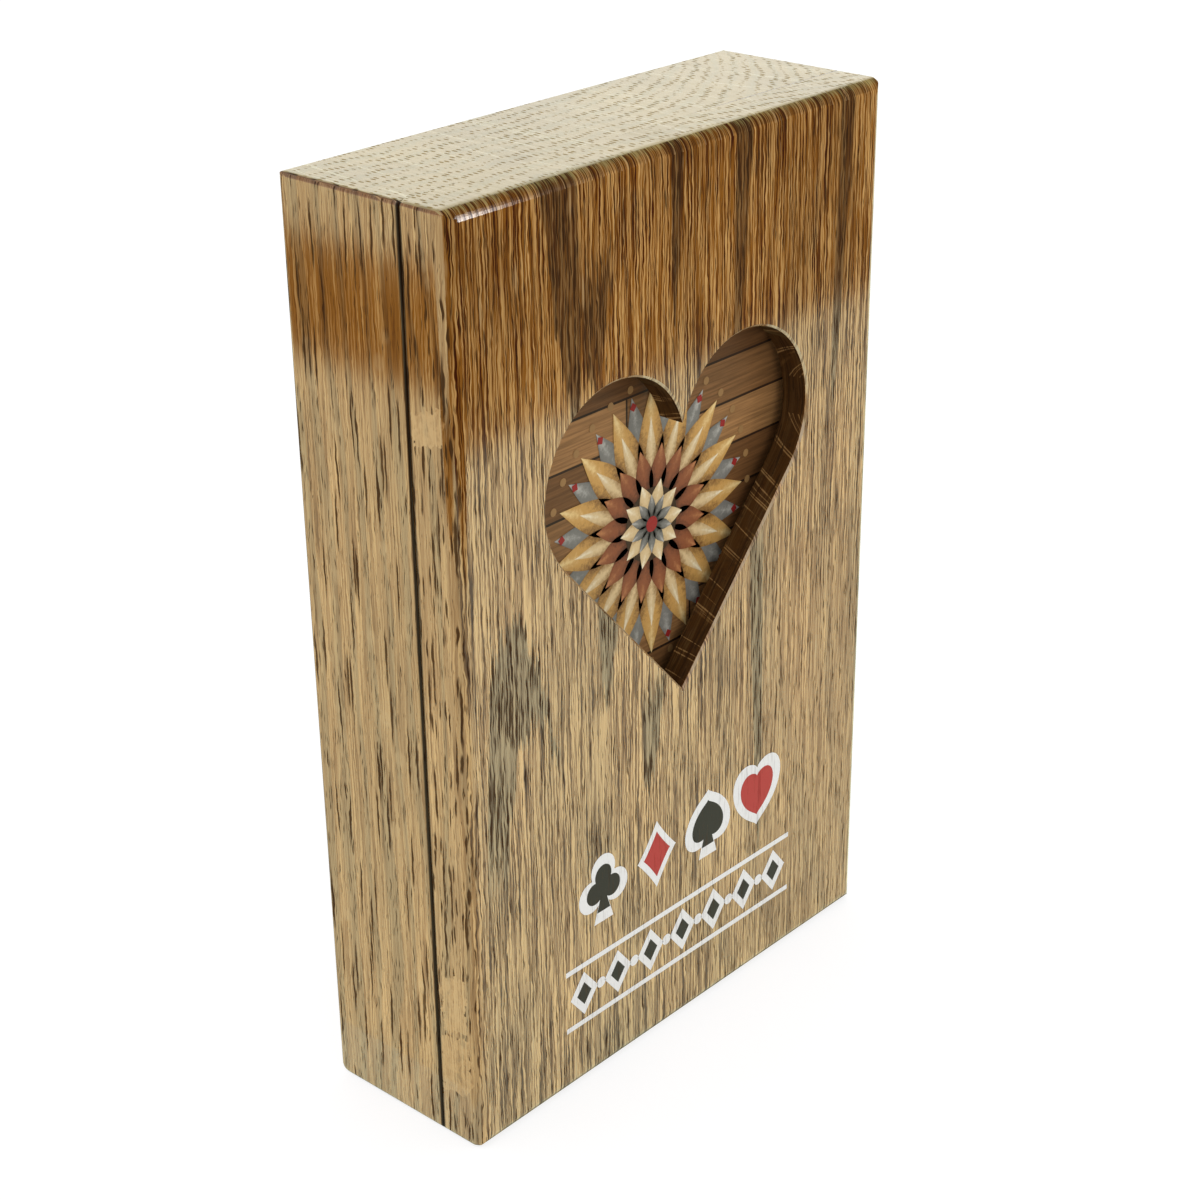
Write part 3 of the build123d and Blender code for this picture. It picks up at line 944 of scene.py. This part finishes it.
def lozenge_chain():
    """A row of white lozenges with beads between them and a rule above and below."""
    tree = geometry_tree("lozenge chain", {"Links": 7, "Pitch": 0.0068, "Width": 0.0046, "Height": 0.0062,
                                           "Rule": 0.0006, "Middle": (0, 0, 0)})
    given = tree.nodes.new("NodeGroupInput").outputs
    links, pitch, width, height = (given[name] for name in ("Links", "Pitch", "Width", "Height"))
    gaps = minus(links, 1)
    half = times(gaps, times(pitch, 0.5))
    first_link = times(half, -1.0)
    first_gap = scaled(pitch, 0.5, first_link)
    rows = []
    for wide, tall, corners, ink, count, first, lift in (
            (0.5, 0.5, 4, white_ink, links, first_link, 0.0),
            (0.26, 0.26, 4, black_ink, links, first_link, 0.00001),
            (0.16, 0.12, 16, white_ink, gaps, first_gap, 0.0)):
        link = moved(disc(tree, 1.0, corners), Scale=vector_of(X=times(width, wide), Y=times(height, tall), Z=1.0))
        line = {"Count": count, "Start Location": vector_of(X=first, Z=lift), "Offset": vector_of(X=pitch)}
        line = place(tree, "GeometryNodeMeshLine", line).outputs["Mesh"]
        row = place(tree, "GeometryNodeInstanceOnPoints", {"Points": line, "Instance": link}).outputs["Instances"]
        rows.append(inked(row, ink))
    length = scaled(half, 2.0, times(width, 1.3))
    rule = {"Size X": length, "Size Y": given["Rule"], "Vertices X": 2, "Vertices Y": 2}
    rule = place(tree, "GeometryNodeMeshGrid", rule).outputs["Mesh"]
    for way in (-0.66, 0.66):
        rows.append(inked(moved(rule, Translation=vector_of(Y=times(height, way))), white_ink))
    stood_up(tree, rows, given["Middle"])
    return tree


under_ink = lid_front + 0.00001
lid_signs = sign_row(("club", "diamond", "spade", "heart"), first=-0.0168, pitch=0.0112, up=0.0300,
                     outer=(0.0108, under_ink, white_ink, white_ink),
                     inner=(0.0074, lid_front, red_ink, black_ink))
lid_signs = printed_shapes("lid_signs", lid_signs)
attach(lid_signs, "lid")

lid_chain = grown("lid_chain", lozenge_chain(), Links=7, Pitch=0.0070, Width=0.0056, Height=0.0070, Rule=0.0008,
                  Middle=(0.0, under_ink, 0.0148))
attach(lid_chain, "lid")


# Studio
# White paper lies on a table, with dark cloth beyond its edges that only the lacquer mirrors.
# A soft light stands behind the box and a narrow one in front of it, in an evenly white room.

def plain_card(name, low, high, level, material):
    """A flat card that lies level, from one corner to the other."""
    mesh = bpy.data.meshes.new(name)
    mesh.from_pydata([(across, along, level) for across, along in bar(low, high)], [], [(0, 1, 2, 3)])
    mesh.materials.append(material)
    card = new_piece(name, mesh)
    return card


def white_paper():
    """Paper that looks white and takes the box's faint shadow; for the lacquer it glows warm and brighter than
    white, most toward the front-left and at the left, a painted reflection.
    """
    near_mirror_glow, far_mirror_glow, left_mirror_glow = (1.10, 1.22, 0.80, 1), (0.77, 0.87, 0.57, 1), (1.23, 1.20, 0.68, 1)
    near_edge, far_edge, left_edge = -0.046, 0.064, -0.05
    material, tree = bare_finish("white paper")
    path = place(tree, "ShaderNodeLightPath").outputs
    mirrored = most(path["Is Glossy Ray"], path["Is Transmission Ray"])
    seen = most(path["Is Camera Ray"], mirrored)
    part = parts_of(place(tree, "ShaderNodeTexCoord").outputs["Object"])
    # Painted reflection: the glow that the lacquer mirrors is graded, brighter toward the front-left and at the
    # left
    mirror_glow = blended(fade(plus(part["X"], part["Y"]), near_edge, far_edge), near_mirror_glow, far_mirror_glow)
    mirror_glow = blended(under(part["X"], left_edge), mirror_glow, left_mirror_glow)
    white = blended(mirrored, (1, 1, 1, 1), mirror_glow)
    glow = place(tree, "ShaderNodeEmission", {"Color": white, "Strength": scaled(mirrored, 0.5, 0.8)})
    matt = place(tree, "ShaderNodeBsdfDiffuse", {"Color": (0.30, 0.30, 0.30, 1)})
    both = place(tree, "ShaderNodeAddShader", {0: glow.outputs[0], 1: matt.outputs[0]})
    dull = place(tree, "ShaderNodeBsdfDiffuse", {"Color": (0.8, 0.8, 0.8, 1)})
    mixed = place(tree, "ShaderNodeMixShader", {0: seen, 1: dull.outputs[0], 2: both.outputs[0]})
    place(tree, "ShaderNodeOutputMaterial", {"Surface": mixed.outputs[0]})
    return material


def dark_cloth():
    """Black cloth that only the lacquer sees."""
    material, tree = bare_finish("dark cloth")
    matt = place(tree, "ShaderNodeBsdfDiffuse", {"Color": (0.03, 0.03, 0.03, 1)})
    place(tree, "ShaderNodeOutputMaterial", {"Surface": matt.outputs[0]})
    return material


cloth = dark_cloth()
paper_edge, cloth_level = -0.192, 0.0004
plain_card("floor", (-3.0, -3.0), (3.0, 3.0), 0.0, white_paper())
front_cloth = plain_card("front_cloth", (-0.6, -3.0), (3.0, paper_edge), cloth_level, cloth)
left_cloth = plain_card("left_cloth", (-0.314, paper_edge), (-0.240, 0.9), cloth_level, cloth)
far_cloth = plain_card("far_cloth", (-1.3, -1.1), (1.3, 1.3), 0.0, cloth)
hung = Vector((-0.86, 0.50, 0.0)).to_track_quat("Z", "Y").to_matrix().to_4x4()
far_cloth.data.transform(Matrix.Translation((0.85, -0.50, 1.15)) @ hung)
for hidden in (front_cloth, left_cloth, far_cloth):
    hidden.visible_camera = False
    hidden.visible_diffuse = False
    hidden.visible_shadow = False
    hidden.visible_transmission = False

world = bpy.data.worlds.new("studio")
bpy.context.scene.world = world
world.use_nodes = True
air = world.node_tree
air.nodes.clear()
path = place(air, "ShaderNodeLightPath").outputs
seen = most(path["Is Camera Ray"], most(path["Is Glossy Ray"], path["Is Transmission Ray"]))
glow = place(air, "ShaderNodeBackground", {"Color": (1, 1, 1, 1), "Strength": scaled(seen, 0.10, 0.90)})
place(air, "ShaderNodeOutputWorld", {"Surface": glow.outputs[0]})


def soft_light(name, where, towards, width, height, power, colour=(1.0, 1.0, 1.0), lean=0.0):
    """A rectangular soft light that faces a point and leans to one side."""
    lamp = bpy.data.lights.new(name, "AREA")
    lamp.shape = "RECTANGLE"
    lamp.size = width
    lamp.size_y = height
    lamp.energy = power
    lamp.color = colour
    light = new_piece(name, lamp)
    light.location = where
    facing = (Vector(towards) - Vector(where)).to_track_quat("-Z", "Y")
    light.rotation_euler = (facing.to_matrix() @ Matrix.Rotation(lean, 3, "Z")).to_euler()
    light.visible_camera = False


soft_light("back_light", (0.62, 0.60, 0.48), (0.0, 0.0, 0.09), width=0.55, height=0.42, power=0.3,
           colour=(1.0, 0.93, 0.72))
soft_light("front_light", (0.462, -0.540, 0.291), (-0.045, -0.014, 0.1285), width=0.03, height=0.39, power=0.34,
           lean=math.radians(-12.4))


# Camera
# It stands to the left of the box and above it, a little turned about its own axis.
# Its place and lens were fitted to the corners, the outline, the seam and the heart.

across = Vector((0.6664941, -0.7454190, -0.0116680))
upright = Vector((0.3279154, 0.2790683, 0.9025477))
onward = Vector((0.6695200, 0.6053689, -0.4304317))
where = (-0.220264, -0.198016, 0.204163)
view = bpy.data.cameras.new("camera")
view.sensor_width = 36.0
view.lens = 70.968
view.clip_start = 0.01
camera = new_piece("camera", view)
turn = Matrix((across, upright, -onward)).transposed().to_4x4()
camera.matrix_world = Matrix.Translation(where) @ turn
bpy.context.scene.camera = camera
bpy.context.scene.view_settings.view_transform = "Standard"
